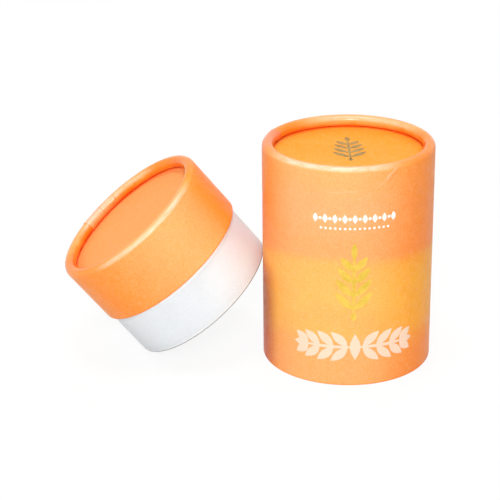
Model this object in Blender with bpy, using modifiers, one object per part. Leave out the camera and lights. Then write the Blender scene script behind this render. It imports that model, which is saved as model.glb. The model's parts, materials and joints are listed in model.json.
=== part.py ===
"""Round paper box with curled rims, taken apart.

The tall printed lid stands on its open end. The short base has its closed end up, and its white
neck leans against the lid's side. All lengths are in metres, and +Z is up.

Both halves are turned about their own +Z, with the open end at the bottom and the closed end at
the top. Heights of the lid count from its open edge, and heights of the base from the neck's edge.
"""

import math

import bmesh
import bpy
from mathutils import Euler, Vector

# Outside sizes
OUTER_RADIUS = 0.0400
LID_HEIGHT = 0.1063
BASE_HEIGHT = 0.0310
NECK_SHOWING = 0.0254

# Curled rims
ROLL_RADIUS = 0.00275
BOARD_TURN = math.radians(292.5)
WRAP_TURN = math.radians(270)
ROLL_STEP = math.radians(22.5)

# Plies
WRAP_THICKNESS = 0.0002
LID_BOARD_THICKNESS = 0.0007
LINER_THICKNESS = 0.0003
NECK_THICKNESS = 0.0012
DISC_BOARD_THICKNESS = 0.0015
DISC_PAPER_THICKNESS = 0.0002

# Fits
GLUE_GAP = 0.0001
SEAT_GAP = 0.0003
DISC_FIT = 0.00015
NECK_CLEARANCE = 0.0002
LINER_SETBACK = 0.0005

# The lean of the base: its angle from upright, the way it points and how far it stands behind
LEAN_ANGLE = math.radians(38.3)
LEAN_HEADING = math.radians(7.5)
LEAN_OFFSET = 0.0135
LEAN_GAP = 0.0003

# Facets
ROUND_SIDES = 52
LEAN_SAMPLES = 720
MERGE_DISTANCE = 0.000001
SHARP_ANGLE = math.radians(35)

# Sizes that follow
WALL_DEPTH = WRAP_THICKNESS + GLUE_GAP
LID_BORE = OUTER_RADIUS - WALL_DEPTH - LID_BOARD_THICKNESS
LINER_RADIUS = LID_BORE - GLUE_GAP
LINER_BORE = LINER_RADIUS - LINER_THICKNESS
NECK_RADIUS = LINER_BORE - NECK_CLEARANCE
NECK_BORE = NECK_RADIUS - NECK_THICKNESS
BASE_BORE = NECK_RADIUS + GLUE_GAP
BASE_BOARD_THICKNESS = OUTER_RADIUS - WALL_DEPTH - BASE_BORE
ROLL_HEIGHT = 2 * ROLL_RADIUS
DISC_FACE_RADIUS = OUTER_RADIUS - ROLL_HEIGHT - SEAT_GAP
BASE_TOP = NECK_SHOWING + BASE_HEIGHT

# Colours are linear red, green and blue
PRINT_COLOUR = (1.0, 0.40, 0.14)
WHITE_COLOUR = (0.86, 0.87, 0.87)
BOARD_COLOUR = (0.50, 0.44, 0.36)


def clear_scene():
    """Remove whatever the open file holds."""
    for item in list(bpy.data.objects):
        bpy.data.objects.remove(item, do_unlink=True)


def make_collection(name):
    """A collection of its own for the box."""
    collection = bpy.data.collections.new(name)
    bpy.context.scene.collection.children.link(collection)
    return collection


def make_material(name, colour, roughness):
    """A Principled BSDF material for paper or board."""
    material = bpy.data.materials.new(name)
    material.use_nodes = True
    shader = material.node_tree.nodes["Principled BSDF"]
    shader.inputs["Base Color"].default_value = (*colour, 1.0)
    shader.inputs["Roughness"].default_value = roughness
    shader.inputs["Metallic"].default_value = 0.0
    return material


def make_holder(collection, name):
    """An empty that one half of the box hangs on."""
    holder = bpy.data.objects.new(name, None)
    collection.objects.link(holder)
    return holder


def add_piece(collection, name, mesh, material, holder):
    """Put a mesh in the collection as a named piece of one half."""
    piece = bpy.data.objects.new(name, mesh)
    mesh.materials.append(material)
    collection.objects.link(piece)
    piece.parent = holder
    return piece


def turned_piece(collection, name, section, material, holder):
    """Turn a closed section, drawn at +X, round the upright axis with a Screw modifier."""
    mesh = bpy.data.meshes.new(name)
    points = [(radius, 0.0, height) for radius, height in section]
    count = len(points)
    edges = [(index, (index + 1) % count) for index in range(count)]
    mesh.from_pydata(points, edges, [])
    piece = add_piece(collection, name, mesh, material, holder)
    screw = piece.modifiers.new("turn", "SCREW")
    screw.axis = "Z"
    screw.angle = math.tau
    screw.steps = ROUND_SIDES
    screw.render_steps = ROUND_SIDES
    screw.use_merge_vertices = True
    screw.merge_threshold = MERGE_DISTANCE
    screw.use_smooth_shade = True
    return piece


def disc_piece(collection, name, radius, face_radius, foot, thickness, material, holder):
    """A round sheet of board or paper, from a cylinder primitive.

    A face radius smaller than the sheet's own gives a sheet whose edge is pressed thin under the
    roll, so that its flat face ends just inside the roll.
    """
    sheet = bmesh.new()
    bmesh.ops.create_cone(
        sheet, cap_ends=True, segments=ROUND_SIDES, radius1=radius, radius2=face_radius,
        depth=thickness
    )
    mesh = bpy.data.meshes.new(name)
    sheet.to_mesh(mesh)
    sheet.free()
    mesh.shade_smooth()
    mesh.set_sharp_from_angle(angle=SHARP_ANGLE)
    piece = add_piece(collection, name, mesh, material, holder)
    piece.location.z = foot + thickness / 2
    return piece


def rolled_line(depth, foot, top, turn):
    """The wall and the curled rim of a tube, at a depth below the paper's surface.

    The line starts at the tube's foot, goes up the wall, and follows the roll over and under.
    """
    reach = ROLL_RADIUS - depth
    centre_radius = OUTER_RADIUS - ROLL_RADIUS
    centre_height = top - ROLL_RADIUS
    steps = max(round(turn / ROLL_STEP), 1)
    line = [(OUTER_RADIUS - depth, foot)]
    for step in range(steps + 1):
        angle = turn * step / steps
        radius = centre_radius + reach * math.cos(angle)
        height = centre_height + reach * math.sin(angle)
        line.append((radius, height))
    return line


def rolled_section(depth, thickness, foot, top, turn):
    """A closed section of one ply with a curled rim, its outer side run from the roll's end down."""
    outer = rolled_line(depth, foot, top, turn)
    inner = rolled_line(depth + thickness, foot, top, turn)
    return outer[::-1] + inner


def ring_section(radius, bore, foot, top):
    """A closed section of a plain tube, its outer side run from the top down."""
    return [(radius, top), (radius, foot), (bore, foot), (bore, top)]


def disc_stack(top):
    """Heights of the feet of the outer paper, the board and the inner paper under a roll."""
    paper = top - ROLL_HEIGHT - SEAT_GAP - DISC_PAPER_THICKNESS
    board = paper - GLUE_GAP - DISC_BOARD_THICKNESS
    lining = board - GLUE_GAP - DISC_PAPER_THICKNESS
    return paper, board, lining


def make_lid(collection, holder, materials):
    """The tall half: a curled board tube in its wrap, a liner, and the disc under the roll."""
    paper_foot, board_foot, lining_foot = disc_stack(LID_HEIGHT)
    disc_radius = LID_BORE - DISC_FIT
    tube = rolled_section(WALL_DEPTH, LID_BOARD_THICKNESS, 0.0, LID_HEIGHT, BOARD_TURN)
    wrap = rolled_section(0.0, WRAP_THICKNESS, 0.0, LID_HEIGHT, WRAP_TURN)
    liner = ring_section(LINER_RADIUS, LINER_BORE, LINER_SETBACK, lining_foot - SEAT_GAP)
    return [
        turned_piece(collection, "lid_tube", tube, materials["board"], holder),
        turned_piece(collection, "lid_wrap", wrap, materials["print"], holder),
        turned_piece(collection, "lid_liner", liner, materials["white"], holder),
        disc_piece(collection, "lid_top_paper", disc_radius, DISC_FACE_RADIUS, paper_foot,
                   DISC_PAPER_THICKNESS, materials["print"], holder),
        disc_piece(collection, "lid_top_disc", disc_radius, disc_radius, board_foot,
                   DISC_BOARD_THICKNESS, materials["board"], holder),
        disc_piece(collection, "lid_inner_paper", disc_radius, disc_radius, lining_foot,
                   DISC_PAPER_THICKNESS, materials["white"], holder),
    ]


def make_base(collection, holder, materials):
    """The short half: a curled board tube in its wrap, its disc, and the neck glued inside it."""
    paper_foot, board_foot, lining_foot = disc_stack(BASE_TOP)
    disc_radius = BASE_BORE - DISC_FIT
    tube = rolled_section(WALL_DEPTH, BASE_BOARD_THICKNESS, NECK_SHOWING, BASE_TOP, BOARD_TURN)
    wrap = rolled_section(0.0, WRAP_THICKNESS, NECK_SHOWING, BASE_TOP, WRAP_TURN)
    neck = ring_section(NECK_RADIUS, NECK_BORE, 0.0, lining_foot - SEAT_GAP)
    return [
        turned_piece(collection, "base_tube", tube, materials["board"], holder),
        turned_piece(collection, "base_wrap", wrap, materials["print"], holder),
        turned_piece(collection, "neck_tube", neck, materials["white"], holder),
        disc_piece(collection, "base_disc_paper", disc_radius, DISC_FACE_RADIUS, paper_foot,
                   DISC_PAPER_THICKNESS, materials["print"], holder),
        disc_piece(collection, "base_disc", disc_radius, disc_radius, board_foot,
                   DISC_BOARD_THICKNESS, materials["board"], holder),
        disc_piece(collection, "base_floor_paper", disc_radius, disc_radius, lining_foot,
                   DISC_PAPER_THICKNESS, materials["white"], holder),
    ]


def base_circles():
    """The widest circles of the base: the neck's edge and both ends of the printed tube."""
    return [(NECK_RADIUS, 0.0), (OUTER_RADIUS, NECK_SHOWING), (OUTER_RADIUS, BASE_TOP)]


def lean_turn():
    """How the leaning base is turned: tipped towards -X, then swung to its heading."""
    return Euler((0.0, -LEAN_ANGLE, LEAN_HEADING), "XYZ")


def lean_place():
    """Where the middle of the neck's edge lies, with the base on the floor and against the lid.

    The height is set by whichever circle of the base is lowest. The distance from the lid is set by
    the point of those circles that comes closest to the lid's wall.
    """
    turn = lean_turn().to_matrix()
    reach = OUTER_RADIUS + LEAN_GAP
    lowest = min(height * math.cos(LEAN_ANGLE) - radius * math.sin(LEAN_ANGLE)
                 for radius, height in base_circles())
    along = []
    for radius, height in base_circles():
        for sample in range(LEAN_SAMPLES):
            angle = math.tau * sample / LEAN_SAMPLES
            point = turn @ Vector((radius * math.cos(angle), radius * math.sin(angle), height))
            aside = LEAN_OFFSET + point.y
            if abs(aside) < reach:
                along.append(-point.x - math.sqrt(reach * reach - aside * aside))
    return Vector((min(along), LEAN_OFFSET, -lowest))


def stand_on_origin(pieces, holders):
    """Shift both halves together until the origin is the bottom centre of the whole arrangement."""
    bpy.context.view_layer.update()
    graph = bpy.context.evaluated_depsgraph_get()
    low = Vector((math.inf, math.inf, math.inf))
    high = -low
    for piece in pieces:
        solid = piece.evaluated_get(graph)
        for vertex in solid.to_mesh().vertices:
            place = solid.matrix_world @ vertex.co
            low = Vector(map(min, low, place))
            high = Vector(map(max, high, place))
        solid.to_mesh_clear()
    middle = (low + high) / 2
    for holder in holders:
        holder.location -= Vector((middle.x, middle.y, low.z))
    return high - low


def main():
    clear_scene()
    collection = make_collection("round_paper_box")
    materials = {
        "print": make_material("printed_paper", PRINT_COLOUR, 0.55),
        "white": make_material("white_paper", WHITE_COLOUR, 0.60),
        "board": make_material("grey_board", BOARD_COLOUR, 0.85),
    }
    lid_stand = make_holder(collection, "lid_stand")
    base_lean = make_holder(collection, "base_lean")
    base_lean.location = lean_place()
    base_lean.rotation_euler = lean_turn()
    pieces = make_lid(collection, lid_stand, materials)
    pieces += make_base(collection, base_lean, materials)
    size = stand_on_origin(pieces, [lid_stand, base_lean])
    bpy.context.view_layer.update()
    print("whole arrangement, in metres:", [round(length, 5) for length in size])
    print("middle of the lid's open end:", [round(length, 5) for length in lid_stand.location])
    print("middle of the neck's edge:", [round(length, 5) for length in base_lean.location])


main()
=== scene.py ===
# %% [markdown]
# # A round paper box, taken apart
#
# The box is a telescoping paper tube. A tall printed lid stands on its open end, and the short base
# leans against it with its closed end up, so that its white neck shows below the printed part.
#
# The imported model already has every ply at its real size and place. This notebook reads it, and adds
# what a solid lacks: rims that are truly round, paper grain, a watercolour print, foil and light.
# All lengths are in metres, +Z is up, and the origin is on the floor between the two halves.

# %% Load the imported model
import json
import math
from functools import partial

import bmesh
import bpy
from mathutils import Matrix, Vector


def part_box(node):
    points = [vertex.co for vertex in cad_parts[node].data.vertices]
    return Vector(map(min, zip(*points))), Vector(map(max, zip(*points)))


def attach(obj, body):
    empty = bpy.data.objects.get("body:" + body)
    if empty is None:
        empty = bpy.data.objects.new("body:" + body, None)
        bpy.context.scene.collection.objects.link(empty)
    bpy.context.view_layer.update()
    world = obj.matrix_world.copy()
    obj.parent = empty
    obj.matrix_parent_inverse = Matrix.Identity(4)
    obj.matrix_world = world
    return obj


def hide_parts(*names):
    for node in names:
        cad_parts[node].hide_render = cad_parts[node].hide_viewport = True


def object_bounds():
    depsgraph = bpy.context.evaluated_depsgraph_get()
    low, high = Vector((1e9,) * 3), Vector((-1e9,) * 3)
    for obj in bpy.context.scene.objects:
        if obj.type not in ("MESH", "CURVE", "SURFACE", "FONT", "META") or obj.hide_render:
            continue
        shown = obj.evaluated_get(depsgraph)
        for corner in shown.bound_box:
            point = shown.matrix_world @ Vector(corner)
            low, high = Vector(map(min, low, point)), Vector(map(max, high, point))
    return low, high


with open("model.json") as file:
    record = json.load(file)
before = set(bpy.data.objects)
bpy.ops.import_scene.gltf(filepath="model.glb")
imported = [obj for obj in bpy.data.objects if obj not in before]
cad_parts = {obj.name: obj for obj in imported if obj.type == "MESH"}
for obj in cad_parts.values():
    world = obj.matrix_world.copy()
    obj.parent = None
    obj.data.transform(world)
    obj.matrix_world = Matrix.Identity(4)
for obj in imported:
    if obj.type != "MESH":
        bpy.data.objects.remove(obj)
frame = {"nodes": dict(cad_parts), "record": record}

cad_low, cad_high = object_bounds()
print("the solids reach from", tuple(cad_low), "to", tuple(cad_high))

# %% [markdown]
# ## Where each half stands
#
# A tube is easiest to model upright, about its own axis, and to lay in its place when it is finished.
# So each half gets a placing matrix: its Z is the tube's axis, counted from the open edge, and its X
# points to the lap, where one end of the printed sheet is glued over the other. The lid's axis is
# simply up. The base leans, and the mount on its closed end gives its axis.

# %% Measure where the halves stand
UP = Vector((0, 0, 1))
LID_LAP = math.radians(153.75)
BASE_LAP = math.radians(131.25)


def placing(origin, axis, across, lap_angle):
    """A matrix that lays an upright tube on its axis, with its lap turned to the given angle."""
    lap = Matrix.Rotation(lap_angle, 3, axis) @ across
    turn = Matrix((lap, axis.cross(lap), axis)).transposed()
    return Matrix.Translation(origin) @ turn.to_4x4()


lid_low, lid_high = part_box("lid_wrap")
lid_foot = Vector(((lid_low.x + lid_high.x) / 2, (lid_low.y + lid_high.y) / 2, lid_low.z))
lid_place = placing(lid_foot, UP, Vector((1, 0, 0)), LID_LAP)

mount = next(each for each in frame["record"]["mounts"] if each["name"] == "base_bottom_face")
base_face = Vector(mount["pos_m"])
base_axis = Vector(mount["axis"]).normalized()
neck_reach = min((v.co - base_face).dot(base_axis) for v in frame["nodes"]["neck_tube"].data.vertices)
base_origin = base_face + base_axis * neck_reach
base_high_side = (UP - base_axis * UP.dot(base_axis)).normalized()
base_place = placing(base_origin, base_axis, base_high_side, BASE_LAP)
print("the lid stands at", tuple(lid_foot), "and the neck's edge is at", tuple(base_origin))
print("the base leans by", round(math.degrees(UP.angle(base_axis)), 2), "degrees")

# %% [markdown]
# ## The sizes of the plies
#
# The model's own points give the sizes, so nothing is typed twice: where a ply starts and ends, its
# outside and its bore, and how far the curled rim comes in. The rim's roll is round, so half the
# distance that it comes in is its radius. The wall ends at the shoulder, where the roll starts.

# %% Measure the plies
SLIVER = 0.00005
WELD = 0.000001


def ply_sizes(node, place):
    """Heights and radii of a round node, seen from its own half."""
    back = place.inverted()
    points = [back @ vertex.co for vertex in frame["nodes"][node].data.vertices]
    points = [(math.hypot(point.x, point.y), point.z) for point in points]
    foot = min(height for _, height in points)
    top = max(height for _, height in points)
    at_foot = [out for out, height in points if height < foot + SLIVER]
    return {
        "foot": foot,
        "top": top,
        "outer": max(at_foot),
        "bore": min(at_foot),
        "inmost": min(out for out, _ in points),
        "radius": max(out for out, _ in points),
        "face": max(out for out, height in points if height > top - WELD * 10),
    }


def measure_half(body, place, lap_angle, hand):
    """One half's place and sizes. The hand is 1 where its sheet runs anticlockwise from the lap."""
    wrap = ply_sizes(body + "_wrap", place)
    roll = (wrap["outer"] - wrap["inmost"]) / 2
    return {
        "body": body,
        "place": place,
        "lap_angle": lap_angle,
        "hand": hand,
        "radius": wrap["outer"],
        "paper": wrap["outer"] - wrap["bore"],
        "foot": wrap["foot"],
        "wall": wrap["top"] - roll - wrap["foot"],
        "roll": roll,
        "centre": wrap["outer"] - roll,
        "shoulder": wrap["top"] - roll,
    }


lid = measure_half("lid", lid_place, LID_LAP, 1)
base = measure_half("base", base_place, BASE_LAP, -1)
for half in (lid, base):
    print(half["body"], {name: round(half[name], 5) for name in ("radius", "paper", "wall", "roll")})

# %% [markdown]
# ## The camera
#
# The view looks down at the box by about 22.5 degrees, through a long lens, with hardly any roll. The
# camera is placed from the lid's foot: so far to the side of it, so far above it, so far in front.

# %% Place the camera
CAMERA_LENS = 116.126
CAMERA_PITCH = math.radians(22.559)
CAMERA_ROLL = math.radians(0.735)
FOOT_TO_THE_RIGHT = 0.04660
FOOT_BELOW = 0.04721
FOOT_AWAY = 0.78340


def aim_camera():
    """A camera set by where the lid's foot lies in its view."""
    forward = Vector((0, math.cos(CAMERA_PITCH), -math.sin(CAMERA_PITCH)))
    level = Vector((1, 0, 0))
    right = level * math.cos(CAMERA_ROLL) + forward.cross(level) * math.sin(CAMERA_ROLL)
    below = forward.cross(right)
    place = lid_foot - right * FOOT_TO_THE_RIGHT - below * FOOT_BELOW - forward * FOOT_AWAY
    data = bpy.data.cameras.new("camera")
    data.lens = CAMERA_LENS
    camera = bpy.data.objects.new("camera", data)
    bpy.context.scene.collection.objects.link(camera)
    turn = Matrix((right, -below, -forward)).transposed()
    camera.matrix_world = Matrix.Translation(place) @ turn.to_4x4()
    bpy.context.scene.camera = camera
    return place


print("the camera is at", tuple(aim_camera()))

# %% [markdown]
# ## Modelling by hand, in code
#
# Blender's operators act on whatever is selected. A new shape is selected by itself, an older piece is
# selected again before it changes, and points are chosen by their place. These small helpers do that.

# %% Selection helpers
SMOOTH_ANGLE = math.radians(35)


def object_mode():
    """Leave edit mode."""
    bpy.ops.object.mode_set(mode="OBJECT")


def edit_mode(kind="VERT"):
    """Edit the active piece, with all its points or faces selected."""
    bpy.ops.object.mode_set(mode="EDIT")
    bpy.ops.mesh.select_mode(type=kind)
    bpy.ops.mesh.select_all(action="SELECT")


def only(*pieces):
    """Select some pieces and nothing else, and make the first the active one."""
    bpy.ops.object.select_all(action="DESELECT")
    for piece in pieces:
        piece.select_set(True)
    bpy.context.view_layer.objects.active = pieces[0]


def choose_points(piece, test):
    """Select the points that pass a test, with the edges and faces between them."""
    bpy.ops.mesh.select_mode(type="VERT")
    bpy.ops.mesh.select_all(action="DESELECT")
    cage = bmesh.from_edit_mesh(piece.data)
    for vertex in cage.verts:
        vertex.select_set(test(vertex.co))
    cage.select_flush(True)
    bmesh.update_edit_mesh(piece.data)


def thicken(piece, thickness, offset, **options):
    """Give a surface its thickness, inwards where the offset is -1 and outwards where it is 1."""
    only(piece)
    ply = piece.modifiers.new("ply", "SOLIDIFY")
    for option, value in dict(options, thickness=thickness, offset=offset).items():
        setattr(ply, option, value)
    bpy.ops.object.modifier_apply(modifier=ply.name)


def smooth():
    """Shade the active piece smooth, with its edges kept sharp."""
    bpy.ops.object.shade_smooth_by_angle(angle=SMOOTH_ANGLE)


def lay_in_place(piece, place):
    """Move a finished upright piece to its half's place, and keep that place in its mesh."""
    only(piece)
    piece.matrix_world = place @ piece.matrix_world
    bpy.ops.object.transform_apply(location=True, rotation=True, scale=True)


# %% [markdown]
# ## A tube with a curled rim
#
# A paper tube is wound from board, wrapped in a printed sheet, and its end is curled inwards and
# under into a hollow roll. The roll starts here as a circle that stands on edge. What lies past the
# curl is deleted, and the outer end is pulled down to the tube's foot. That line is spun round the
# axis, and Solidify gives it the thickness of its ply.

# %% The curled tube
ROUND_STEPS = 192
ROLL_POINTS = 32
WALL_CUTS = 15
ON_EDGE = (math.radians(90), 0, 0)
WRAP_TURN = math.radians(270)
BOARD_TURN = math.radians(292.5)


def start_circle(name, radius, place, sides=ROUND_STEPS, turn=(0, 0, 0), inside="NOTHING"):
    """A new piece that starts as a circle, with its place kept in its mesh."""
    bpy.ops.mesh.primitive_circle_add(vertices=sides, radius=radius, fill_type=inside, location=place,
                                      rotation=turn)
    piece = bpy.context.object
    piece.name = name
    bpy.ops.object.transform_apply(location=True, rotation=True, scale=True)
    return piece


def roll_angle(point, half):
    """The angle round the roll, from its outermost point up and over."""
    across = math.hypot(point.x, point.y) - half["centre"]
    return (math.atan2(point.z - half["shoulder"], across) + WELD) % math.tau


def curled_line(name, half, depth, turn):
    """A wall and its roll as one line of edges at +X, at a depth below the paper's surface."""
    middle = (half["centre"], 0, half["shoulder"])
    piece = start_circle(name, half["roll"] - depth, middle, ROLL_POINTS, ON_EDGE)
    edit_mode()
    choose_points(piece, lambda co: roll_angle(co, half) > turn + WELD * 10)
    bpy.ops.mesh.delete(type="VERT")
    choose_points(piece, lambda co: roll_angle(co, half) < WELD * 10)
    bpy.ops.mesh.extrude_vertices_move(TRANSFORM_OT_translate={"value": (0, 0, -half["wall"])})
    choose_points(piece, lambda co: co.x > half["radius"] - depth - SLIVER
                  and co.z < half["shoulder"] + WELD)
    bpy.ops.mesh.subdivide(number_cuts=WALL_CUTS)
    bpy.ops.mesh.select_all(action="SELECT")
    return piece


def check_outwards(piece, low, high):
    """Turn the faces round if the wall's faces between two heights point to the axis."""
    wall = [face for face in piece.data.polygons if low < face.center.z < high]
    outwards = sum(face.normal.x * face.center.x + face.normal.y * face.center.y for face in wall)
    if outwards < 0:
        only(piece)
        edit_mode()
        bpy.ops.mesh.flip_normals()
        object_mode()


# %% [markdown]
# ## The map of a printed sheet
#
# Print and lap belong to the flat sheet and not to space, so each printed piece gets a map in metres:
# the first number runs round the tube from the lap, and the second runs up the wall and on over the
# roll. At the lap the map jumps by the whole way round, and the print breaks there as on the real box.

# %% Map a sheet in metres
SHEET_MAP = "sheet"


def climb(point, half):
    """How far up the sheet a point lies: up the wall, then round the roll."""
    if point.z < half["shoulder"] and math.hypot(point.x, point.y) > half["centre"]:
        return point.z - half["foot"]
    return half["wall"] + roll_angle(point, half) * half["roll"]


def new_map(piece):
    """An empty sheet map in place of whatever map a primitive brought."""
    while piece.data.uv_layers:
        piece.data.uv_layers.remove(piece.data.uv_layers[0])
    return piece.data.uv_layers.new(name=SHEET_MAP)


def map_round(piece, half):
    """Map a ply round its tube."""
    layer = new_map(piece)
    mesh = piece.data
    for face in mesh.polygons:
        middle = half["hand"] * math.atan2(face.center.y, face.center.x) % math.tau
        for loop in face.loop_indices:
            point = mesh.vertices[mesh.loops[loop].vertex_index].co
            angle = half["hand"] * math.atan2(point.y, point.x)
            angle = middle + (angle - middle + math.pi) % math.tau - math.pi
            layer.data[loop].uv = (angle * half["radius"], climb(point, half))


def map_flat(piece):
    """Map a flat sheet by its own plan."""
    layer = new_map(piece)
    for loop in piece.data.loops:
        layer.data[loop.index].uv = piece.data.vertices[loop.vertex_index].co.xy


# %% [markdown]
# ## Nodes without clutter
#
# Every finish here is made of nodes. One helper adds a node and fills its inputs with values or with
# other nodes' outputs. An output knows its own tree, so the helpers for sums, noise and mixes need only
# their inputs. A noise has up to four numbers: its features a metre, its detail, its roughness and its
# distortion. A reach says where a change starts and ends. Colours are given as seen on a screen.

# %% Node helpers
WHITE = (1, 1, 1, 1)
NOISE_REACH = (0.3, 0.7)


def fill(node, inputs):
    """Fill a node's inputs with values or with other nodes' outputs."""
    for socket, value in inputs.items():
        if isinstance(value, bpy.types.NodeSocket):
            node.id_data.links.new(value, node.inputs[socket])
        else:
            node.inputs[socket].default_value = value


def add_node(tree, kind, inputs, **options):
    """Add a node, set its options and fill its inputs."""
    made = tree.nodes.new("ShaderNode" + kind)
    for option, value in options.items():
        setattr(made, option, value)
    fill(made, inputs)
    return made


def colour(*levels):
    """A colour given as on a screen, from 0 to 255, as linear red, green, blue and alpha."""
    shares = [level / 255 for level in levels]
    return (*[share / 12.92 if share <= 0.04045 else ((share + 0.055) / 1.055) ** 2.4
              for share in shares], 1.0)


def start_material(name):
    """A material, its Principled shader, and the coordinates of its object."""
    material = bpy.data.materials.new(name)
    material.use_nodes = True
    space = add_node(material.node_tree, "TexCoord", {}).outputs["Object"]
    print("material", name)
    return material, material.node_tree.nodes["Principled BSDF"], space


def calculate(operation, first, second=0.0):
    """The result of one sum, in which at least one number is another node's output."""
    tree = (first if isinstance(first, bpy.types.NodeSocket) else second).id_data
    return add_node(tree, "Math", {0: first, 1: second}, operation=operation).outputs[0]


times, plus, minus = [partial(calculate, operation) for operation in ("MULTIPLY", "ADD", "SUBTRACT")]


def spread(value, low, high, to_low=0.0, to_high=1.0, kind="SMOOTHSTEP"):
    """Stretch a value from one range to another, without running past the ends."""
    inputs = {"Value": value, "From Min": low, "From Max": high, "To Min": to_low, "To Max": to_high}
    return add_node(value.id_data, "MapRange", inputs, interpolation_type=kind).outputs["Result"]


def mix(share, first, second, kind="MIX"):
    """Mix two colours by a share."""
    inputs = {0: share, 6: first, 7: second}
    return add_node(share.id_data, "Mix", inputs, data_type="RGBA", blend_type=kind).outputs[2]


def stretched(where, y):
    """Coordinates that run so many times as fast along Y."""
    return add_node(where.id_data, "Mapping", {"Vector": where, "Scale": (1, y, 1)}).outputs[0]


def speckle(where, scale, detail, roughness=0.5, distortion=0.0):
    """Noise between 0 and 1."""
    inputs = {"Vector": where, "Scale": scale, "Detail": detail, "Roughness": roughness,
              "Distortion": distortion}
    return add_node(where.id_data, "TexNoise", inputs).outputs["Fac"]


def varied(where, noise, low, high, reach=NOISE_REACH):
    """A value that a noise spreads between two limits."""
    return spread(speckle(where, *noise), *reach, low, high)


def split(where):
    """The first two numbers of a place."""
    parts = add_node(where.id_data, "SeparateXYZ", {0: where}).outputs
    return parts["X"], parts["Y"]


def sheet_of(tree):
    """A place on the sheet, and its two numbers: along from the lap and up from the foot."""
    sheet = add_node(tree, "UVMap", {}, uv_map=SHEET_MAP).outputs["UV"]
    return sheet, *split(sheet)


# %% [markdown]
# ## Printed paper
#
# The wrap is art paper with a watercolour wash: soft bands of peach and amber that drift up and down
# as they go round, with blooms where the wet paint pooled. Bands come from the height on the sheet
# plus slow noise, blooms from a second noise. Fine speckle stands for the paper's tooth, both in the
# colour and, through Bump, in the gloss. Along the cut edge at the foot the print is darker in a thin
# line.

# %% The wash and the tooth of printed paper
TOOTH_NOISE = (1500, 3, 0.7)
WAVE_NOISE = (60, 1)
GRAIN_NOISE = (1250, 3, 0.7)
CLOUD_NOISE = (300, 3, 0.6)
DRIFT_NOISE = (16, 5, 0.55, 0.4)
BLOOM_NOISE = (42, 6, 0.6, 0.8)
TOOTH_HEIGHT = 0.000012
WAVE_HEIGHT = 0.00010
BRUSH_STRETCH = 1.6
BLOOM_REACH = (0.42, 0.70)
GRAIN_PART = 0.8
PIT_REACH = (0.52, 0.32)
POINT_REACH = (0.50, 0.70)
POINTS_SEEN = 0.3


def wave_round(along, radius, middle):
    """The cosine of the way round from a place on the sheet: one there, and minus one behind it."""
    return calculate("COSINE", minus(calculate("DIVIDE", along, radius), middle))


def bands_of_colour(height, bands):
    """Soft bands from a list of heights in metres and colours."""
    low = bands[0][0]
    high = bands[-1][0]
    ramp = add_node(height.id_data, "ValToRGB", {"Fac": spread(height, low, high, kind="LINEAR")})
    stops = ramp.color_ramp
    stops.interpolation = "EASE"
    while len(stops.elements) < len(bands):
        stops.elements.new(0.5)
    for stop, (place, tint) in zip(stops.elements, bands):
        stop.position = (place - low) / (high - low)
        stop.color = tint
    return ramp.outputs["Color"]


def wash(sheet, height, bands, drift, bloom, bloom_share):
    """The wash: bands that drift, with blooms of another colour over them."""
    brushed = stretched(sheet, BRUSH_STRETCH)
    lift = times(minus(speckle(brushed, *DRIFT_NOISE), 0.5), drift)
    pool = varied(brushed, BLOOM_NOISE, 0.0, bloom_share, BLOOM_REACH)
    return mix(pool, bands_of_colour(plus(height, lift), bands), bloom)


def mottled(space, tint, deep, pale, amount):
    """A colour with the fine speckle of paper tooth: deeper in the pits, and paler on the points."""
    level = plus(times(speckle(space, *GRAIN_NOISE), GRAIN_PART),
                 times(speckle(space, *CLOUD_NOISE), 1 - GRAIN_PART))
    tint = mix(spread(level, *PIT_REACH, 0.0, amount), tint, deep, "MULTIPLY")
    return mix(times(spread(level, *POINT_REACH, 0.0, POINTS_SEEN), amount), tint, pale)


def paper_bump(space, tooth=TOOTH_HEIGHT, relief=None):
    """The tooth and the slow waves of paper, with any further relief in metres."""
    height = plus(times(speckle(space, *TOOTH_NOISE), tooth),
                  times(speckle(space, *WAVE_NOISE), WAVE_HEIGHT))
    if relief is not None:
        height = plus(height, relief)
    inputs = {"Height": height, "Distance": 1.0, "Strength": 1.0}
    return add_node(space.id_data, "Bump", inputs).outputs[0]


# %% [markdown]
# ## The colours of the wash
#
# From the foot up, the lid's wash goes from peach to amber, then at about 60 mm into a rosier peach
# that carries on to the rim. The base's sheet is peach, with a deeper orange on one side. Each list
# gives a height on the sheet and the colour there. The bands also tilt, because no brush goes round
# quite level: by 2 mm on the lid, and by a centimetre on the base. Then each half has its own plan:
# where the painted light on its sides is strongest, how far round the painted shade at its sides
# reaches, what its lap looks like, and its deep side: painted shade low on the lid next to the base,
# and a deeper print on the base. Its painted highlights on the roll each have a middle, a stretch
# over the roll, a least share and a strength. Angles are in degrees, counted round the tube from the
# front, and over the roll from its outermost line.

# %% Colours of the print
PEACH = colour(254, 176, 104)
AMBER = colour(255, 184, 94)
AMBER_LIGHT = colour(255, 188, 96)
ROSE_PEACH = colour(255, 172, 104)
PEACH_LIGHT = colour(255, 178, 116)
RIM_PEACH = colour(255, 178, 106)
CURL_PEACH = colour(255, 170, 86)
CURL_ORANGE = colour(254, 142, 40)
# Painted shade: the deepest orange lies at the roll's underside, in the crevice next to the disc.
CURL_CREVICE_SHADE = colour(253, 114, 17)
BLOOM_ROSE = colour(253, 166, 98)
BLOOM_AMBER = colour(255, 186, 100)
DISC_DEEP = colour(255, 161, 44)
DISC_AMBER = colour(255, 165, 54)
DISC_LIGHT = colour(255, 173, 70)
DISC_PEACH = colour(254, 170, 96)
# Painted shade for the disc's border under the roll.
DISC_EDGE_SHADE = colour(250, 112, 28)
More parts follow.
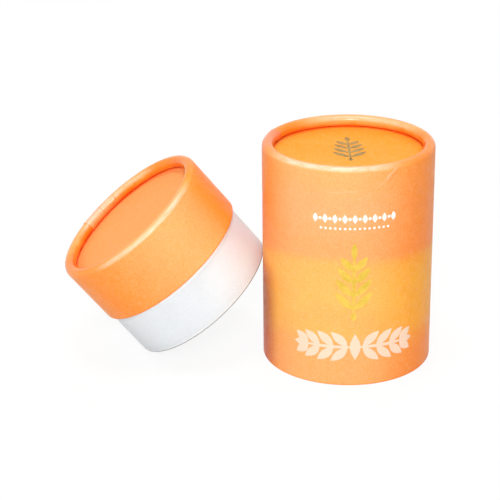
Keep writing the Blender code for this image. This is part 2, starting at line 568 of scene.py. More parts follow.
# Painted shade: tints that deepen the wash towards the sides, away from where the light is strongest.
SIDE_SHADE = colour(255, 209, 104)
AMBER_SIDE_SHADE = colour(255, 234, 84)
PIT_SHADE = colour(250, 222, 190)
POINT_PALE = colour(255, 236, 216)
FOOT_EDGE_DARKER = colour(252, 214, 146)
# Painted highlight: pale streaks on the roll's crown and inner side, and on crease ridges.
PAINTED_HIGHLIGHT = colour(255, 233, 210)
CREASE_SHADE = colour(240, 190, 150)

FRONT_ANGLE = math.radians(270)
DEEP_AND_SHADED_SIDE = -88
FAR_STRETCH = (98, 128, 146, 176)
crown = lid["roll"] * math.pi / 2


def over_the_roll(wall):
    """The bands that both sheets have from the end of the wall over the roll, with painted shade at its
    underside.
    """
    return [(wall, RIM_PEACH), (wall + crown, RIM_PEACH), (wall + crown * 1.6, CURL_PEACH),
            (wall + crown * 2.2, CURL_ORANGE), (wall + crown * 3, CURL_CREVICE_SHADE)]


LID_PLAN = {
    "bands": [(0.000, PEACH), (0.016, PEACH), (0.026, AMBER), (0.040, AMBER_LIGHT), (0.0565, AMBER),
              (0.062, ROSE_PEACH), (0.085, PEACH_LIGHT)] + over_the_roll(lid["wall"]),
    "bloom": BLOOM_ROSE,
    "climb_side": 35,
    "climb": 0.002,
    # Painted light is strongest at this angle, and painted shade deepens the wash round to the sides.
    "painted_light_at": -17,
    "shade_reach": (18, 74),
    "side_middle": AMBER_SIDE_SHADE,
    # On the lid this is painted shade: its lower side next to the leaning base is darkened where the
    # base shades it.
    "deep_tint_and_shade": colour(216, 150, 60),
    "deep_tint_and_shade_reach": (0.84, 1.0),
    "deep_tint_and_shade_top": 0.056,
    # Painted highlights on the lid's roll: at the front, and on its inner side behind.
    "painted_edge_light": [(-17, (14, 42, 64, 98), 0.06, 1.0), (162, FAR_STRETCH, 0.0, 0.6)],
    "lap_tint": colour(254, 142, 98),
    "lap_share": 0.80,
}
BASE_PLAN = {
    "bands": [(0.000, PEACH)] + over_the_roll(base["wall"]),
    "bloom": BLOOM_AMBER,
    "climb_side": -90,
    "climb": 0.013,
    # Painted light is strongest at this angle, and painted shade deepens the wash round to the sides.
    "painted_light_at": -28,
    "shade_reach": (0, 80),
    "side_middle": SIDE_SHADE,
    # On the base this is a deeper print on one side.
    "deep_tint_and_shade": colour(255, 238, 73),
    "deep_tint_and_shade_reach": (0.78, 0.99),
    "deep_tint_and_shade_top": 0.060,
    # Painted highlights on the base's roll: near the front, and on its inner side behind.
    "painted_edge_light": [(-14, (2, 22, 46, 74), 0.06, 0.8), (164.5, FAR_STRETCH, 0.0, 0.6)],
    "lap_tint": colour(255, 184, 142),
    "lap_share": 0.90,
}
print("bands on the lid:", len(LID_PLAN["bands"]), "and on the base:", len(BASE_PLAN["bands"]))

# %% [markdown]
# ## Painted highlights, the lap and the creases
#
# The crown of the curled rim carries a painted highlight in pale streaks, strongest at the front,
# and the inner side of the roll carries another behind. Where the sheet starts, next to the lap, its
# colour hasn't taken the same, and a soft patch of another tint runs out from the seam. Fine creases
# lie where the paper was curled. Each is given in millimetres and degrees by its place along the
# sheet and above the end of the wall, its turn, its length and its depth. It has a painted highlight
# on a ridge and painted shade in a valley.

# %% Painted highlights, lap and creases
MM = 0.001
LAP_FADE = 0.030
LAP_NOISE = (70, 3)
LAP_RAGGED = 0.02
CUT_EDGE = 0.00040
CUT_NOISE = (900, 3)
CREASE_WIDTH = 0.00070
CREASE_NOISE = (500, 2)
CREASE_WOBBLE = 0.0006
# The painted highlights on the roll: the noise and stretch of their streaks, and how they fade.
HIGHLIGHT_NOISE = (190, 5, 0.6)
HIGHLIGHT_STRETCH = 4
HIGHLIGHT_REACH = (0.32, 0.62)
HIGHLIGHT_SHARES = (0.32, 0.68)
HIGHLIGHT_FACING_REACH = (0.60, 0.95)
LID_CREASES = [(98.5, -1.0, 38, 9, 0.09), (99.5, -2.6, 42, 7, -0.07), (94.5, -5.0, 34, 12, 0.05),
               (75.0, -8.5, 3, 22, 0.04), (125.0, 3.0, 62, 6, -0.09), (192.0, 6.6, 80, 5, 0.03),
               (198.5, 6.8, 98, 5, -0.04), (204.5, 6.6, 86, 4, 0.03), (213.0, 6.8, 102, 5, -0.04),
               (221.5, 6.6, 84, 5, 0.04)]
BASE_CREASES = [(12, 6.0, 84, 9, -0.11), (22, 6.0, 97, 9, -0.08), (36, 6.2, 88, 8, -0.07),
                (17, 5.0, 20, 8, 0.08)]


def painted_highlight_share(sheet, up, half, toward_highlight, stretch, least):
    """How much painted highlight lies along the roll, in streaks, and most of all at one place."""
    over = calculate("DIVIDE", minus(up, half["wall"]), half["roll"])
    start, full, still_full, end = [math.radians(angle) for angle in stretch]
    on_crown = times(spread(over, start, full), spread(over, still_full, end, 1.0, 0.0))
    streaks = varied(stretched(sheet, HIGHLIGHT_STRETCH), HIGHLIGHT_NOISE, *HIGHLIGHT_SHARES, HIGHLIGHT_REACH)
    return times(on_crown, times(streaks, spread(toward_highlight, *HIGHLIGHT_FACING_REACH, least, 1.0)))


def creases(sheet, wall, places):
    """Fine creases as a height in metres."""
    total = None
    wobble = times(minus(speckle(sheet, *CREASE_NOISE), 0.5), CREASE_WOBBLE)
    for along, above, turn, length, depth in places:
        inputs = {"Vector": sheet, "Location": (along * MM, wall + above * MM, 0),
                  "Rotation": (0, 0, math.radians(turn))}
        own = add_node(sheet.id_data, "Mapping", inputs, vector_type="TEXTURE").outputs[0]
        x, y = split(own)
        across = calculate("ABSOLUTE", plus(y, wobble))
        ends = spread(calculate("ABSOLUTE", x), length * MM / 4, length * MM / 2, 1.0, 0.0)
        fold = times(spread(across, 0.0, CREASE_WIDTH, depth * MM, 0.0), ends)
        total = fold if total is None else plus(total, fold)
    return total


def lap_share_round(sheet, along, share):
    """How far the lap's own tint shows, running out softly from the seam."""
    run = plus(along, times(minus(speckle(sheet, *LAP_NOISE), 0.5), LAP_RAGGED))
    return spread(run, LAP_FADE * 0.4, LAP_FADE, share, 0.0)


def cut_share(sheet, up):
    """How far the print is darker along the cut edge at the foot, in a ragged line."""
    height = plus(up, times(speckle(sheet, *CUT_NOISE), CUT_EDGE))
    return spread(height, CUT_EDGE, CUT_EDGE * 2.2, 1.0, 0.0)


# %% Make the printed papers
PRINT_GLOSS = 0.28
DISC_GLOSS = 0.12
GRAIN = 0.52
GRAIN_ON_ROLL = 0.22
SMOOTHER_ON_ROLL = 0.22
ROUGHER_DISC = -0.15
SATIN = ((240, 3), 0.36, 0.48)
AMBER_STARTS = (0.010, 0.024)
AMBER_ENDS = (0.052, 0.062)
SHADED_SIDES = (-0.80, -0.40)
# Where the painted highlight on crease ridges and the painted shade in their valleys start and end.
RIDGES = (0.0, 0.00012, 0.0, 0.45)
VALLEYS = (0.0, -0.00012, 0.0, 0.60)
DRIFT = (0.012, 0.036)
DRIFT_REACH = (0.4, -0.4)
BLOOM_ON_WRAP = 0.30
BLOOM_ON_DISC = 0.20
LAP_ON_ROLL = 0.3
LAP_REACH = (1.5, 2.3)
SOFT_FROM = 0.75
DISC_SHADE_REACH = 1.06
FACE_REACH = lid["radius"] - lid["roll"] * 2


def finish_print(shader, space, tint, grain=GRAIN, smoother=0.0, relief=None, gloss=PRINT_GLOSS):
    """The last of every printed paper: its grain, its satin surface and its tooth."""
    fill(shader, {
        "Base Color": mottled(space, tint, PIT_SHADE, POINT_PALE, grain),
        "Roughness": minus(varied(space, *SATIN), smoother),
        "Specular IOR Level": gloss,
        "Normal": paper_bump(space, relief=relief),
    })


def shade_sides(tint, height, painted_light_facing, plan):
    """Painted shade to both sides of where the painted light is strongest, with its own tint in the
    amber band.
    """
    start, full = [math.radians(angle) for angle in plan["shade_reach"]]
    turned = spread(calculate("ARCCOSINE", painted_light_facing), start, full)
    share = times(turned, spread(painted_light_facing, *SHADED_SIDES))
    amber_zone = times(spread(height, *AMBER_STARTS), spread(height, *AMBER_ENDS, 1.0, 0.0))
    return mix(share, tint, mix(amber_zone, SIDE_SHADE, plan["side_middle"]), "MULTIPLY")


def show_creases(tint, relief):
    """Painted highlight on the ridges of its creases, and painted shade in their valleys."""
    tint = mix(spread(relief, *RIDGES), tint, PAINTED_HIGHLIGHT)
    return mix(spread(relief, *VALLEYS), tint, CREASE_SHADE, "MULTIPLY")


def wrap_material(half, plan, folds):
    """The sheet round a tube: wash, painted side shade, lap tint, painted highlights, creases and tooth.
    """
    material, shader, space = start_material(half["body"] + "_print")
    sheet, along, up = sheet_of(shader.id_data)
    wall = half["wall"]
    front = (FRONT_ANGLE - half["lap_angle"]) * half["hand"] % math.tau

    def facing(degrees):
        """One so many degrees round from the front, and minus one opposite."""
        return wave_round(along, half["radius"], front + math.radians(degrees))

    tilt = times(facing(plan["climb_side"]), spread(up, wall * SOFT_FROM, wall, plan["climb"], 0.0))
    height = minus(up, tilt)
    # Painted light is strongest towards this side. Painted shade deepens the wash away from it, and the
    # bands drift more there.
    painted_light_facing = facing(plan["painted_light_at"])
    drift = spread(painted_light_facing, *DRIFT_REACH, *DRIFT)
    tint = wash(sheet, height, plan["bands"], drift, plan["bloom"], BLOOM_ON_WRAP)
    tint = shade_sides(tint, height, painted_light_facing, plan)
    # Painted shade low on the lid's side next to the base. On the base, a deeper print on one side.
    below = spread(up, plan["deep_tint_and_shade_top"] * SOFT_FROM, plan["deep_tint_and_shade_top"], 1.0, 0.0)
    deep_tint_and_shade = times(spread(facing(DEEP_AND_SHADED_SIDE), *plan["deep_tint_and_shade_reach"]), below)
    tint = mix(deep_tint_and_shade, tint, plan["deep_tint_and_shade"], "MULTIPLY")
    lap = plan["lap_share"]
    fades = [wall + crown * share for share in LAP_REACH]
    at_lap = spread(up, *fades, lap, lap * LAP_ON_ROLL)
    tint = mix(lap_share_round(sheet, along, at_lap), tint, plan["lap_tint"])
    # Painted highlights on the roll, in streaks.
    for place, stretch, least, strength in plan["painted_edge_light"]:
        wear_and_highlight = painted_highlight_share(sheet, up, half, facing(place), stretch, least)
        tint = mix(times(wear_and_highlight, strength), tint, PAINTED_HIGHLIGHT)
    relief = creases(sheet, wall, folds)
    tint = show_creases(tint, relief)
    tint = mix(cut_share(sheet, up), tint, FOOT_EDGE_DARKER, "MULTIPLY")
    smoother = spread(up, wall, wall + half["roll"], 0.0, SMOOTHER_ON_ROLL)
    grain = spread(up, wall, wall + half["roll"], GRAIN, GRAIN_ON_ROLL)
    finish_print(shader, space, tint, grain, smoother, relief)
    return material


def disc_material(name, near, middle, far, bloom):
    """The printed disc: a wash across it, with painted shade at its border, where it meets the roll."""
    material, shader, space = start_material(name)
    sheet, _, up = sheet_of(shader.id_data)
    bands = [(-FACE_REACH, near), (0, middle), (FACE_REACH, far)]
    tint = wash(sheet, up, bands, DRIFT[0], bloom, BLOOM_ON_DISC)
    out = add_node(sheet.id_data, "VectorMath", {0: sheet}, operation="LENGTH").outputs["Value"]
    # Painted shade in the crevice where the disc meets the roll.
    tint = mix(spread(out, FACE_REACH, FACE_REACH * DISC_SHADE_REACH), tint, DISC_EDGE_SHADE)
    finish_print(shader, space, tint, smoother=ROUGHER_DISC, gloss=DISC_GLOSS)
    return material


lid_print = wrap_material(lid, LID_PLAN, LID_CREASES)
base_print = wrap_material(base, BASE_PLAN, BASE_CREASES)
lid_disc_print = disc_material("lid_disc_print", DISC_DEEP, DISC_AMBER, DISC_LIGHT, BLOOM_AMBER)
base_disc_print = disc_material("base_disc_print", DISC_PEACH, DISC_PEACH, DISC_PEACH, BLOOM_ROSE)

# %% [markdown]
# ## White paper and board
#
# The neck is faced with smooth white paper, so its colour hardly varies and its gloss does. Its open
# edge carries a painted highlight, and the strip just below the wrap's step is painted lighter, where
# the step's shadow falls. The board itself shows only at the open ends, as a cut edge of warm grey
# pulp with darker fibres in it.

# %% Make the white papers and the board
# The neck's open edge: the width of its painted highlight and grey cut. Then the painted light below the
# wrap's step.
NECK_EDGE_BAND = 0.0008
NECK_LIT_BELOW_STEP = (base["foot"] - 0.0020, base["foot"] - 0.0010)
NECK_CUT = colour(168, 172, 170)
NECK_EDGE_HIGHLIGHT = colour(242, 244, 246)
WHITE_PIT = colour(246, 246, 248)
WHITE_GRAIN = 0.5
WHITE_CLOUDS = (55, 4, 0.6)
CLOUD_REACH = (0.35, 0.7)
WHITE_NOISE = (300, 3)
PULP_NOISE = (900, 5, 0.7)
FIBRE_NOISE = (2400, 2, 0.5, 1.5)
FIBRE_REACH = (0.62, 0.72)
FIBRES_SEEN = 0.5


def paint_neck_edges(tree, tint):
    """The neck: a painted highlight and a grey cut at its open edge, and painted light below the wrap's
    step.
    """
    _, _, up = sheet_of(tree)
    # Painted highlight along the eased open edge.
    tint = mix(spread(up, NECK_EDGE_BAND, NECK_EDGE_BAND * 2.0, 1.0, 0.0), tint, NECK_EDGE_HIGHLIGHT)
    tint = mix(spread(up, NECK_EDGE_BAND * 0.6, NECK_EDGE_BAND, 1.0, 0.0), tint, NECK_CUT)
    # Painted light: white up from just below the wrap's step, where the step's shadow falls.
    return mix(spread(up, *NECK_LIT_BELOW_STEP), tint, WHITE)


def white_material(name, tint, shade, rough, tooth, painted_edge_light=False):
    """White paper: clean and faintly clouded."""
    material, shader, space = start_material(name)
    tint = mix(varied(space, WHITE_CLOUDS, 0.0, 1.0, CLOUD_REACH), tint, shade)
    if painted_edge_light:
        tint = paint_neck_edges(shader.id_data, tint)
    fill(shader, {
        "Base Color": mottled(space, tint, WHITE_PIT, WHITE, WHITE_GRAIN),
        "Roughness": varied(space, WHITE_NOISE, *rough),
        "Normal": paper_bump(space, tooth),
    })
    return material


def board_material(name):
    """Grey board: pulp with fibres of two tones, rough all over."""
    material, shader, space = start_material(name)
    pulp = varied(space, PULP_NOISE, 0.0, 1.0)
    fibres = varied(space, FIBRE_NOISE, 0.0, FIBRES_SEEN, FIBRE_REACH)
    tint = mix(pulp, colour(176, 164, 146), colour(206, 197, 181))
    fill(shader, {
        "Base Color": mix(fibres, tint, colour(120, 106, 90)),
        "Roughness": varied(space, PULP_NOISE, 0.80, 0.95),
        "Normal": paper_bump(space, TOOTH_HEIGHT * 3),
    })
    return material


neck_white = white_material("neck_white", colour(229, 235, 238), colour(226, 231, 235), (0.38, 0.52),
                            TOOTH_HEIGHT / 2, painted_edge_light=True)
liner_white = white_material("liner_white", colour(236, 236, 234), colour(228, 228, 225), (0.55, 0.70),
                             TOOTH_HEIGHT)
grey_board = board_material("grey_board")

# %% [markdown]
# ## The printed wraps and the boards under them
#
# The wrap is the outermost ply, so its depth is zero. The board starts under it, and curls a little
# further than the paper, as it does on a real tube.

# %% Model the wraps and the board tubes


def dress(piece, material, half, slot, *nodes):
    """Give a piece its material, lay it in place, and tie it to its half of the box."""
    piece.data.materials.clear()
    piece.data.materials.append(material)
    lay_in_place(piece, half["place"])
    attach(piece, half["body"])
    if nodes:
        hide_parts(*nodes)
    print(piece.name, "has", len(piece.data.polygons), "faces and replaces", nodes or "nothing")


def model_curled(name, node, half, material, slot, turn):
    """One ply of a tube with a curled rim, closed all round, as deep and as thick as its node."""
    sizes = ply_sizes(node, half["place"])
    piece = curled_line(name, half, half["radius"] - sizes["outer"], turn)
    bpy.ops.mesh.spin(steps=ROUND_STEPS, angle=math.tau, center=(0, 0, 0), axis=UP)
    bpy.ops.mesh.select_all(action="SELECT")
    bpy.ops.mesh.remove_doubles(threshold=WELD)
    bpy.ops.mesh.normals_make_consistent(inside=False)
    object_mode()
    check_outwards(piece, half["foot"], half["shoulder"])
    thicken(piece, sizes["outer"] - sizes["bore"], -1, use_even_offset=True)
    smooth()
    map_round(piece, half)
    dress(piece, material, half, slot, node)


model_curled("lid_printed_wrap", "lid_wrap", lid, lid_print, "printed_wrap", WRAP_TURN)
model_curled("lid_curled_board", "lid_tube", lid, grey_board, "tube_board", BOARD_TURN)
model_curled("base_printed_wrap", "base_wrap", base, base_print, "printed_wrap", WRAP_TURN)
model_curled("base_curled_board", "base_tube", base, grey_board, "tube_board", BOARD_TURN)

# %% [markdown]
# ## The lap of the printed sheet
#
# A wrap is one sheet, and its last few millimetres are glued over its first. The lap is a strip of
# the same curled line, spun through a few steps only. A vertex group tells Solidify to make it full
# thickness at the cut edge and next to nothing at the other side, where it becomes the sheet again.

# %% Model the laps
LAP_STEPS = 4
LAP_LIFT = 0.000008
LAP_THIN = 0.04


def model_lap(half, material):
    """A thin wedge of paper over the wrap, with its cut edge at the lap and the print carried on."""
    over = dict(half, radius=half["radius"] + LAP_LIFT, roll=half["roll"] + LAP_LIFT)
    piece = curled_line(half["body"] + "_wrap_lap", over, 0.0, WRAP_TURN)
    reach = math.tau * LAP_STEPS / ROUND_STEPS
    bpy.ops.mesh.spin(steps=LAP_STEPS, angle=-reach * half["hand"], center=(0, 0, 0), axis=UP)
    object_mode()
    check_outwards(piece, half["foot"], half["shoulder"])
    lift = piece.vertex_groups.new(name="lift")
    for vertex in piece.data.vertices:
        share = min(abs(math.atan2(vertex.co.y, vertex.co.x)) / reach, 1)
        lift.add([vertex.index], 1 - (1 - LAP_THIN) * share, "REPLACE")
    thicken(piece, half["paper"], 1, vertex_group="lift")
    smooth()
    map_round(piece, half)
    dress(piece, material, half, "printed_wrap")


model_lap(lid, lid_print)
model_lap(base, base_print)

# %% [markdown]
# ## The discs that close the ends
#
# A disc of board, faced with paper on both sides, is pushed in before the rim is curled over it. The
# roll bites into its edge, so the printed paper turns up a little against the roll and is pressed thin
# past it. The face starts as a filled circle. Insets give it rings that dish it by a hair, and its
# border is pulled out, up to the roll and down under it.

# %% Model the discs
DISH_RINGS = 3
DISH_DEPTH = 0.00004
TOUCH_ANGLE = math.radians(254)
EDGE_RUN = 3
PRESSED_BY = 0.9


def extrude_border(widen, rise):
    """Extrude the chosen edges, so many times as far from the axis and so much higher."""
    bpy.ops.mesh.extrude_edges_move()
    bpy.ops.transform.resize(value=(widen, widen, 1), center_override=(0, 0, 0))
    bpy.ops.transform.translate(value=(0, 0, rise))


def model_disc(name, node, half, material, slot, rolled_over=False):
    """A round sheet with a face dished by a hair and a pressed edge, turned up where a roll holds it."""
    sizes = ply_sizes(node, half["place"])
    face = sizes["face"]
    drop = sizes["foot"] - sizes["top"]
    piece = start_circle(name, face, (0, 0, sizes["top"]), inside="NGON")
    edit_mode("FACE")
    for _ in range(DISH_RINGS):
        bpy.ops.mesh.inset(thickness=face / (DISH_RINGS + 1), depth=-DISH_DEPTH / DISH_RINGS)
    choose_points(piece, lambda co: math.hypot(co.x, co.y) > face - SLIVER)
    reach, rise = face, 0.0
    if rolled_over:
        reach = half["centre"] + half["roll"] * math.cos(TOUCH_ANGLE)
        rise = half["shoulder"] + half["roll"] * math.sin(TOUCH_ANGLE) - SLIVER - sizes["top"]
        extrude_border((reach - rise * EDGE_RUN) / face, 0.0)
        extrude_border(reach / (reach - rise * EDGE_RUN), rise)
    extrude_border(max(sizes["radius"], face + SLIVER) / reach, drop * PRESSED_BY - rise)
    extrude_border(1, drop * (1 - PRESSED_BY))
    bpy.ops.mesh.edge_face_add()
    bpy.ops.mesh.select_all(action="SELECT")
    bpy.ops.mesh.normals_make_consistent(inside=False)
    object_mode()
    smooth()
    map_flat(piece)
    dress(piece, material, half, slot, node)


model_disc("lid_disc_face", "lid_top_paper", lid, lid_disc_print, "printed_wrap", rolled_over=True)
model_disc("lid_disc_lining", "lid_inner_paper", lid, liner_white, "white_paper")
model_disc("base_disc_face", "base_disc_paper", base, base_disc_print, "printed_wrap", rolled_over=True)
model_disc("base_disc_lining", "base_floor_paper", base, liner_white, "white_paper")
for node in ("lid_top_disc", "base_disc"):
    frame["nodes"][node].data.materials.clear()
    frame["nodes"][node].data.materials.append(grey_board)

# %% [markdown]
# ## Foil and ink ornaments
#
# The lid carries plain old patterns: on its front a border of lozenges and beads in white, a leaf sprig
# in gold foil and a leaf garland in pale ink, and a smaller sprig on top. Each is drawn flat from a few
# shapes, and is given the thickness of ink or foil before it is laid on. A leaf starts as a grid. Its
# rows are drawn in to a pointed outline, and its midrib stands up.

# %% Model a leaf and a bead
LEAF_LENGTHWAYS = 12
LEAF_ACROSS = 4
LEAF_TIP = 0.03
BEAD_SIDES = 20
LAYER = 0.00004


def leaf(length, width, bend=0.0, fullness=0.85, ridge=0.0):
    """A pointed leaf that lies on the floor along +Y from the origin, bent to one side."""
    bpy.ops.mesh.primitive_grid_add(x_subdivisions=LEAF_ACROSS, y_subdivisions=LEAF_LENGTHWAYS, size=1)
    piece = bpy.context.object
    for vertex in piece.data.vertices:
        along = vertex.co.y + 0.5
        outline = max(math.sin(math.pi * along) ** fullness, LEAF_TIP)
        rise = ridge * (1 - abs(vertex.co.x) * 2) * outline
        vertex.co = (vertex.co.x * width * outline + bend * along ** 2, along * length, rise)
    return piece


def bead(width):
    """A round bead with a crown."""
    bpy.ops.mesh.primitive_circle_add(vertices=BEAD_SIDES, radius=width / 2, fill_type="NGON")
    piece = bpy.context.object
    edit_mode("FACE")
    bpy.ops.mesh.inset(thickness=width / 8, depth=width / 60)
    object_mode()
    return piece


def set_down(shape, x, y, turn=0.0):
    """Turn a shape and move it to its place on the flat sheet."""
    lay_in_place(shape, Matrix.Translation((x, y, 0)) @ Matrix.Rotation(turn, 4, "Z"))
    return shape


def copy_to(pattern, x, y):
    """A copy of a shape, with its own mesh, at a place on the flat sheet."""
    only(pattern)
    bpy.ops.object.duplicate()
    return set_down(bpy.context.object, x, y)


def join_shapes(name, shapes):
    """One ornament from its shapes, as thick as ink or foil."""
    only(*shapes)
    bpy.ops.object.join()
    piece = bpy.context.object
    piece.name = name
    thicken(piece, LAYER, 1)
    new_map(piece)
    smooth()
    return piece


# %% [markdown]
# ## Inks and foil
#
# Ink takes the paper's tooth and lets a little of it through, so its colour is broken by fine noise.
# Foil is metal: it has the colour in its reflections, and small dents make it glitter.

# %% Make the inks and the foil
INK_NOISE = (1400, 4, 0.7)
INK_REACH = (0.52, 0.74)
INK_MISSING = 0.65
INK_SATIN = ((260, 2), 0.42, 0.55)
INK_GRAIN = 0.3
FOIL_NOISE = (190, 5, 0.62)
FOIL_REACH = (0.32, 0.62)
DENT_NOISE = (420, 3)


def ink_material(name, ink, wear_and_highlight):
    """Ink on paper, thin where the paper's tooth stands up."""
    material, shader, space = start_material(name)
    missing = varied(space, INK_NOISE, 0.0, INK_MISSING, INK_REACH)
    fill(shader, {
        "Base Color": mottled(space, mix(missing, ink, wear_and_highlight), PIT_SHADE, POINT_PALE, INK_GRAIN),
        "Roughness": varied(space, *INK_SATIN),
        "Specular IOR Level": PRINT_GLOSS,
        "Normal": paper_bump(space),
    })
    return material


def foil_material(name, light, dark, rough):
    """Stamped foil: two tones of gold, dented by the paper under it."""
    material, shader, space = start_material(name)
    fill(shader, {
        "Base Color": mix(varied(space, FOIL_NOISE, 0.0, 1.0, FOIL_REACH), dark, light),
        "Metallic": 1.0,
        "Roughness": varied(space, DENT_NOISE, *rough),
        "Normal": paper_bump(space, TOOTH_HEIGHT * 2),
    })
    return material


white_ink = ink_material("white_ink", colour(255, 250, 244), colour(255, 214, 176))
pale_ink = ink_material("pale_ink", colour(253, 219, 193), colour(253, 196, 144))
gold_foil = foil_material("gold_foil", colour(253, 212, 96), colour(236, 198, 74), (0.26, 0.38))
# A darker copy of the gold foil: painted shade for the sprig that lies flat on top.
shaded_gold_foil = foil_material("shaded_gold_foil", colour(190, 158, 84), colour(164, 134, 66), (0.35, 0.50))

# %% [markdown]
# ## Draw and wrap the ornaments
#
# Every place below is measured on the flat sheet: to the right of the printed front's middle line, and
# up from the lid's foot. Wrapping turns the first into an angle round the tube. A pair of leaves is
# given by where it grows from the stem, and how long it is.

# %% Model the ornaments
CLEAR_OF_PAPER = 0.000012
SPRIG_PAIRS = [(0.0050, 0.0118), (0.0115, 0.0112), (0.0180, 0.0102), (0.0242, 0.0086)]
SPRIG_LEAN = math.radians(52)
GARLAND_PAIRS = [(0.0035, 0.0105), (0.0100, 0.0105), (0.0165, 0.0098), (0.0222, 0.0080)]
GARLAND_LEAN = math.radians(50)
SIDEWAYS = math.radians(90)
LEAF_BEND = 0.0012


def sprig(name, scale):
    """An upright sprig: a stem, four pairs of leaves, a top leaf and a small lozenge for a foot."""
    shapes = [leaf(0.0345 * scale, 0.0013, fullness=0.5)]
    for height, length in SPRIG_PAIRS:
        for side in (-1, 1):
            blade = leaf(length * scale, 0.0035 * scale, bend=-side * LEAF_BEND * scale, ridge=0.00003)
            shapes.append(set_down(blade, 0, height * scale, -side * SPRIG_LEAN))
    top = leaf(0.0085 * scale, 0.0028 * scale, ridge=0.00003)
    foot = leaf(0.0046 * scale, 0.0028 * scale, fullness=1.1)
    shapes.append(set_down(top, 0, 0.0290 * scale))
    shapes.append(set_down(foot, 0, -0.0010 * scale))
    return join_shapes(name, shapes)


def print_on_front(piece, x, y, material):
    """Bend a flat ornament round the lid's wall, with its origin x along from the front and y up."""
    for vertex in piece.data.vertices:
        turn = FRONT_ANGLE - LID_LAP + (vertex.co.x + x) / lid["radius"]
        out = lid["radius"] + CLEAR_OF_PAPER + vertex.co.z
        vertex.co = (out * math.cos(turn), out * math.sin(turn), vertex.co.y + y)
    piece.data.update()
    dress(piece, material, lid, material.name)


def model_sprigs():
    """The gold sprig on the lid's front, and the one in the recess on top in a darker copy: painted
    shade.
    """
    print_on_front(sprig("lid_foil_sprig", 1.0), 0.0007, 0.0335, gold_foil)
    face = ply_sizes("lid_top_paper", lid_place)["top"]
    over = Matrix.Translation(lid_foot + Vector((0.0005, -0.0125, face - DISH_DEPTH / 2)))
    dress(sprig("lid_top_sprig", 0.90), shaded_gold_foil, dict(lid, place=over), "gold_foil")


def model_garland():
    """A garland of leaves to both sides of a lozenge, in pale ink."""
    shapes = [set_down(leaf(0.0130, 0.0050, fullness=1.0), 0, -0.0065)]
    for side in (-1, 1):
        stem = leaf(0.0260, 0.0016, fullness=0.5)
        end = leaf(0.0080, 0.0036, ridge=0.00002)
        shapes.append(set_down(stem, 0, 0, -side * SIDEWAYS))
        shapes.append(set_down(end, side * 0.0215, 0, -side * SIDEWAYS))
        for out, length in GARLAND_PAIRS:
            for up in (-1, 1):
                blade = leaf(length, 0.0042, bend=side * up * LEAF_BEND, ridge=0.00002)
                turn = -side * (SIDEWAYS - up * GARLAND_LEAN)
                shapes.append(set_down(blade, side * out, 0, turn))
    print_on_front(join_shapes("lid_garland", shapes), 0.0016, 0.0195, pale_ink)


def model_border():
    """A row of lozenges and beads, and a row of small dots below it, in white ink."""
    patterns = leaf(0.0042, 0.0023, fullness=1.0), bead(0.0015), bead(0.0012)
    lozenge, ball, dot = patterns
    shapes = []
    for place in range(-8, 9):
        x = place * 0.00225
        shapes.append(copy_to(lozenge, x, 0.0025) if place % 2 == 0 else copy_to(ball, x, 0.0046))
    for place in range(-7, 8):
        shapes.append(copy_to(dot, place * 0.0022, 0))
    for pattern in patterns:
        bpy.data.objects.remove(pattern)
    print_on_front(join_shapes("lid_white_border", shapes), 0.0008, 0.0778, white_ink)


model_sprigs()
model_garland()
model_border()

# %% [markdown]
# ## The neck and the liner
#
# Both are plain tubes of white-faced board. The neck's open edge has been handled and rubbed, so a
# small bevel eases it on both sides. The liner stands back a little from the lid's edge.

# %% Model the neck and the liner
NECK_EASE = 0.00030
LINER_EASE = 0.00006
TUBE_PARTS = 8
ALWAYS_WALL = {"hand": 1, "centre": 0.0, "shoulder": 1.0}


def model_plain_tube(name, node, half, material, slot, ease):
    """A straight tube at a node's size and place, with eased edges at its open end."""
    sizes = ply_sizes(node, half["place"])
    height = sizes["top"] - sizes["foot"]
    piece = start_circle(name, sizes["outer"], (0, 0, sizes["foot"]))
    edit_mode()
    for _ in range(TUBE_PARTS):
        bpy.ops.mesh.extrude_edges_move(TRANSFORM_OT_translate={"value": (0, 0, height / TUBE_PARTS)})
    bpy.ops.mesh.select_all(action="SELECT")
    bpy.ops.mesh.normals_make_consistent(inside=False)
    object_mode()
    check_outwards(piece, sizes["foot"], sizes["top"])
    thicken(piece, sizes["outer"] - sizes["bore"], -1, use_even_offset=True)
    edit_mode()
    choose_points(piece, lambda co: co.z < sizes["foot"] + SLIVER)
    bpy.ops.mesh.bevel(offset=ease, segments=3, affect="EDGES")
    object_mode()
    smooth()
    map_round(piece, dict(ALWAYS_WALL, radius=sizes["outer"], foot=sizes["foot"]))
    dress(piece, material, half, slot, node)


model_plain_tube("base_neck", "neck_tube", base, neck_white, "neck_board", NECK_EASE)
model_plain_tube("lid_white_liner", "lid_liner", lid, liner_white, "white_paper", LINER_EASE)

# %% [markdown]
# ## Light and floor
#
# A soft lamp stands above and in front and a weak one overhead. Two low ones fill in the sides and one
# the back, where the world alone would leave them dull. The back one isn't seen in glossy surfaces,
# because it would lay a pale sheen over the lid's top. The floor is white. Seen by the camera or in a
# gloss, most of its light is its own, so it stays white and keeps only a faint shadow. For everything
# else it is a plain white surface.

# %% Set the world, the lamps and the floor
WORLD_LIGHT = (0.235, 0.34)
FLOOR_REACH = 8
FLOOR_GLOW = 0.88
FLOOR_BOUNCE = (0.67, 0.67, 0.67, 1)
PLACE_SIZE_POWER = {
    "key": ((-0.08, -1.38, 0.88), 0.40, 16.0),
    "top": ((-0.05, -0.10, 1.35), 0.40, 5.3),
    "left_fill": ((-1.27, -0.48, 0.22), 0.8, 3.8),
    "right_fill": ((0.90, -0.95, 0.25), 0.8, 1.8),
    "back": ((0.25, 1.20, 0.80), 0.8, 7.0),
}


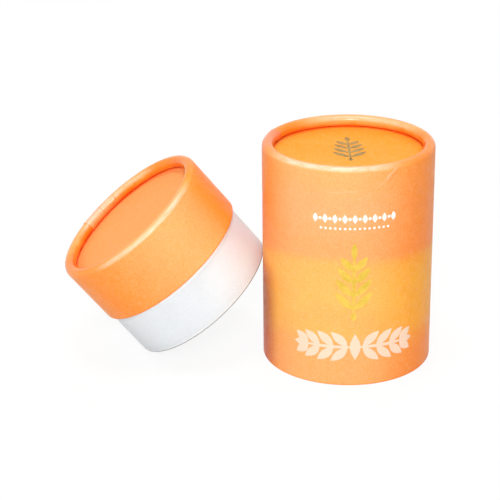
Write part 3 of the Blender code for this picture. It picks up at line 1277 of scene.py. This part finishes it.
def soft_lamp(name, place, size, power):
    """A square lamp that faces the box, and shows in glosses unless it is the back one."""
    data = bpy.data.lights.new(name, "AREA")
    data.size = size
    data.energy = power
    lamp = bpy.data.objects.new(name, data)
    bpy.context.scene.collection.objects.link(lamp)
    lamp.location = place
    target = (cad_low + cad_high) / 2
    lamp.rotation_euler = (target - lamp.location).to_track_quat("-Z", "Y").to_euler()
    lamp.visible_glossy = name != "back"


def seen_directly(tree):
    """One for what is seen, directly, in a gloss or through glass, and nought for other light."""
    path = add_node(tree, "LightPath", {}).outputs
    gloss = calculate("MAXIMUM", path["Is Glossy Ray"], path["Is Transmission Ray"])
    return calculate("MAXIMUM", path["Is Camera Ray"], gloss)


def set_world():
    """A plain white surround, dim at the horizon and brighter overhead."""
    world = bpy.data.worlds.new("surround")
    bpy.context.scene.world = world
    world.use_nodes = True
    tree = world.node_tree
    way = add_node(tree, "TexCoord", {}).outputs["Generated"]
    rise = add_node(tree, "SeparateXYZ", {0: way}).outputs["Z"]
    level = spread(rise, 0.0, 1.0, *WORLD_LIGHT, "LINEAR")
    shown = seen_directly(tree)
    strength = plus(times(level, minus(1.0, shown)), shown)
    fill(tree.nodes["Background"], {"Color": WHITE, "Strength": strength})


def lay_floor():
    """A white floor that keeps a faint shadow."""
    bpy.ops.mesh.primitive_plane_add(size=FLOOR_REACH)
    floor = bpy.context.object
    floor.name = "floor"
    material = bpy.data.materials.new("floor_white")
    material.use_nodes = True
    tree = material.node_tree
    tree.nodes.clear()
    shown = seen_directly(tree)
    paint = add_node(tree, "BsdfDiffuse", {"Color": mix(shown, FLOOR_BOUNCE, WHITE)}).outputs[0]
    glow = add_node(tree, "Emission", {"Color": WHITE, "Strength": 1.0}).outputs[0]
    both = add_node(tree, "MixShader", {0: times(shown, FLOOR_GLOW), 1: paint, 2: glow}).outputs[0]
    add_node(tree, "OutputMaterial", {"Surface": both})
    floor.data.materials.append(material)


set_world()
for name, (place, size, power) in PLACE_SIZE_POWER.items():
    soft_lamp(name, place, size, power)
lay_floor()
bpy.context.scene.view_settings.view_transform = "Standard"
print("lamps:", *PLACE_SIZE_POWER)
